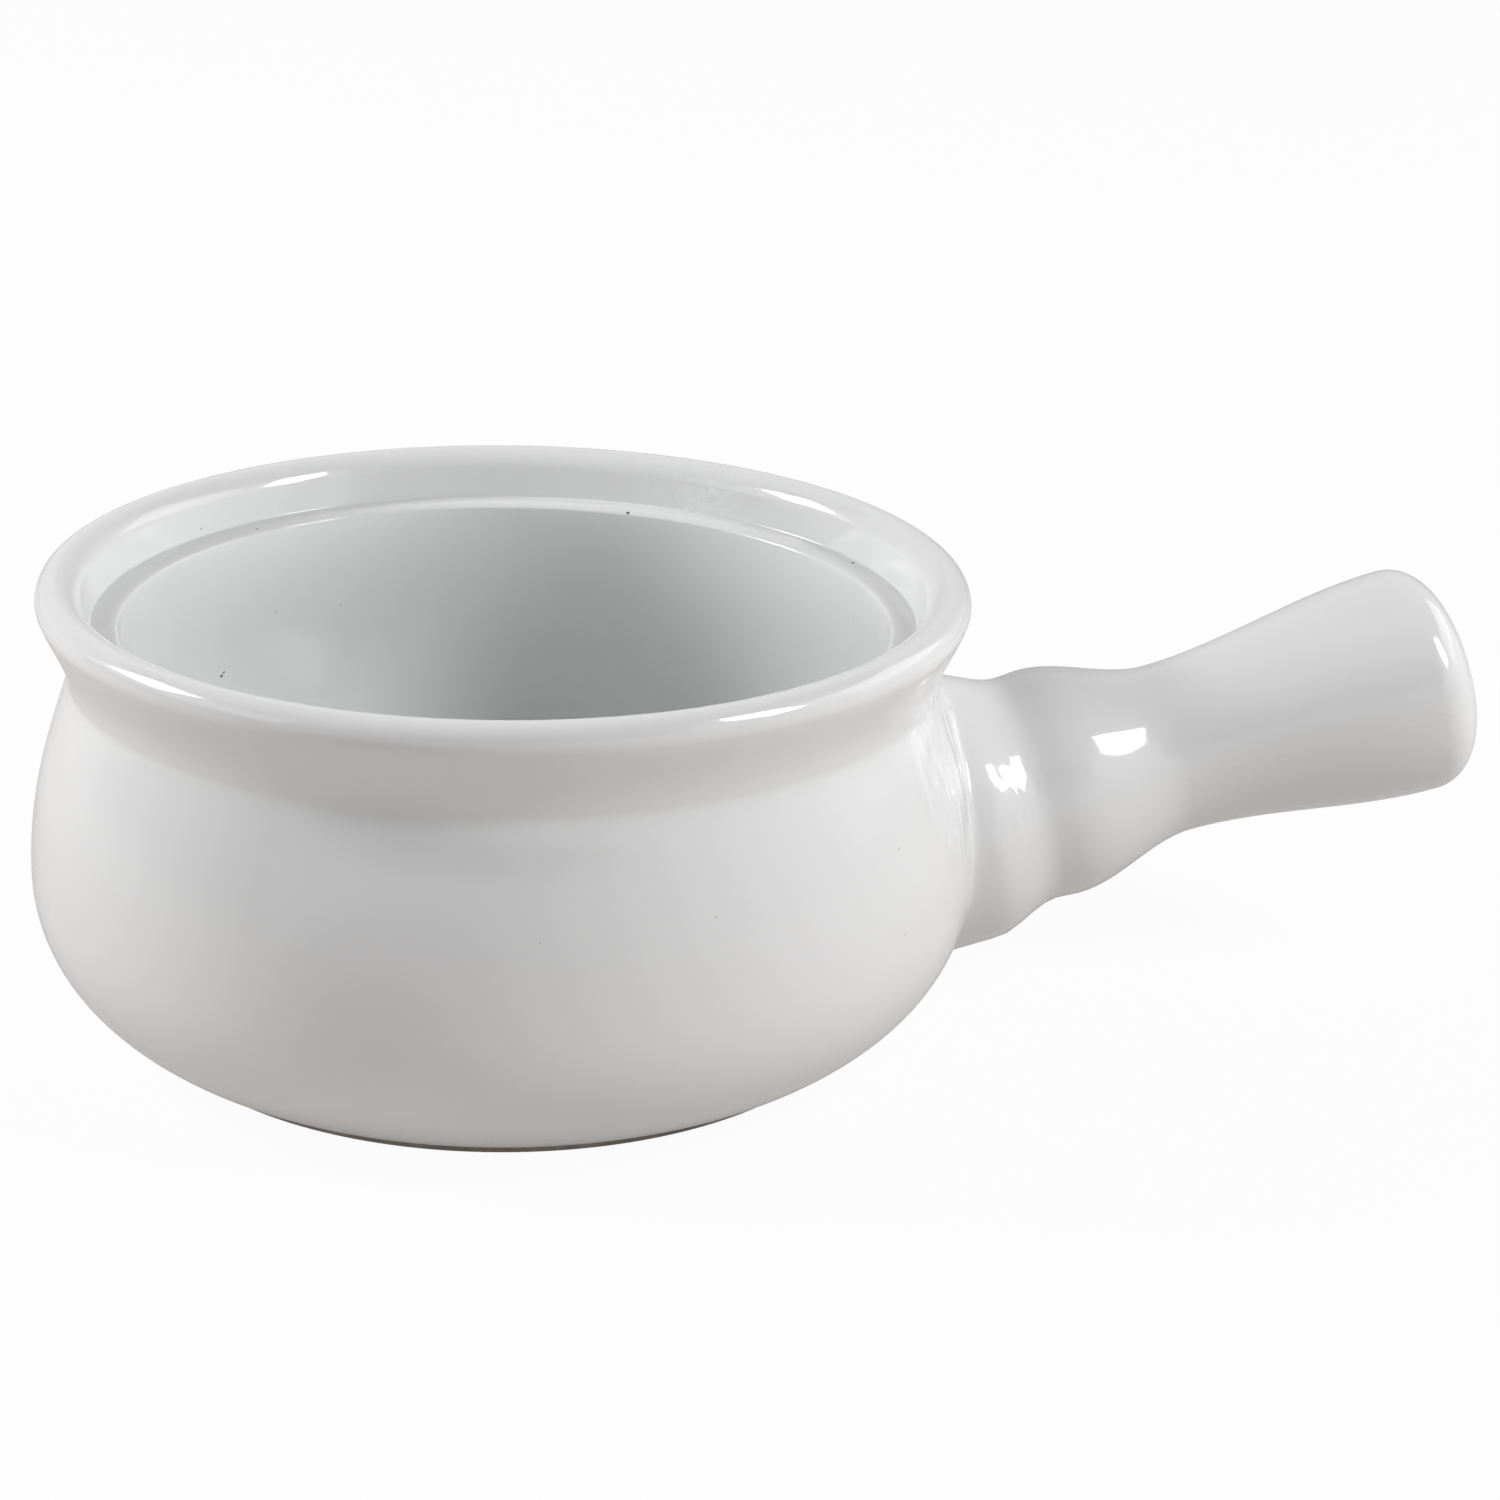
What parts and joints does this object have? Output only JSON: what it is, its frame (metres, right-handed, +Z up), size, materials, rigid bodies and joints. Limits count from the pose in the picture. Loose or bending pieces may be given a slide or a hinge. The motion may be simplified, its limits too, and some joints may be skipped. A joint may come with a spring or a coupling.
{
  "type": "onion soup crock",
  "caption": "Round-bellied porcelain soup crock with a flared lip, an inner gallery for a lid or cheese crust, and a hollow side handle.",
  "frame": {"origin": "centre of the foot ring's standing face, on the table", "axes": "+Z up out of the bowl's mouth, +X along the handle as seen from above"},
  "size_m": [0.2006, 0.1274, 0.0624],
  "materials": {
    "porcelain": "bare fired porcelain, matt and slightly warm, showing only on the foot ring",
    "slip": "fired casting slip, matt, hidden in the joint",
    "inside_glaze": "glossy white glaze, slightly cool where it lies thick",
    "white_glaze": "glossy white glaze, faintly warm"
  },
  "bodies": {
    "root": {"bowl_body": "porcelain", "handle_body": "porcelain", "luting_slip": "slip", "inside_glaze": "inside_glaze", "outside_glaze": "white_glaze", "underside_glaze": "white_glaze", "handle_glaze": "white_glaze"}
  },
  "joints": []
}
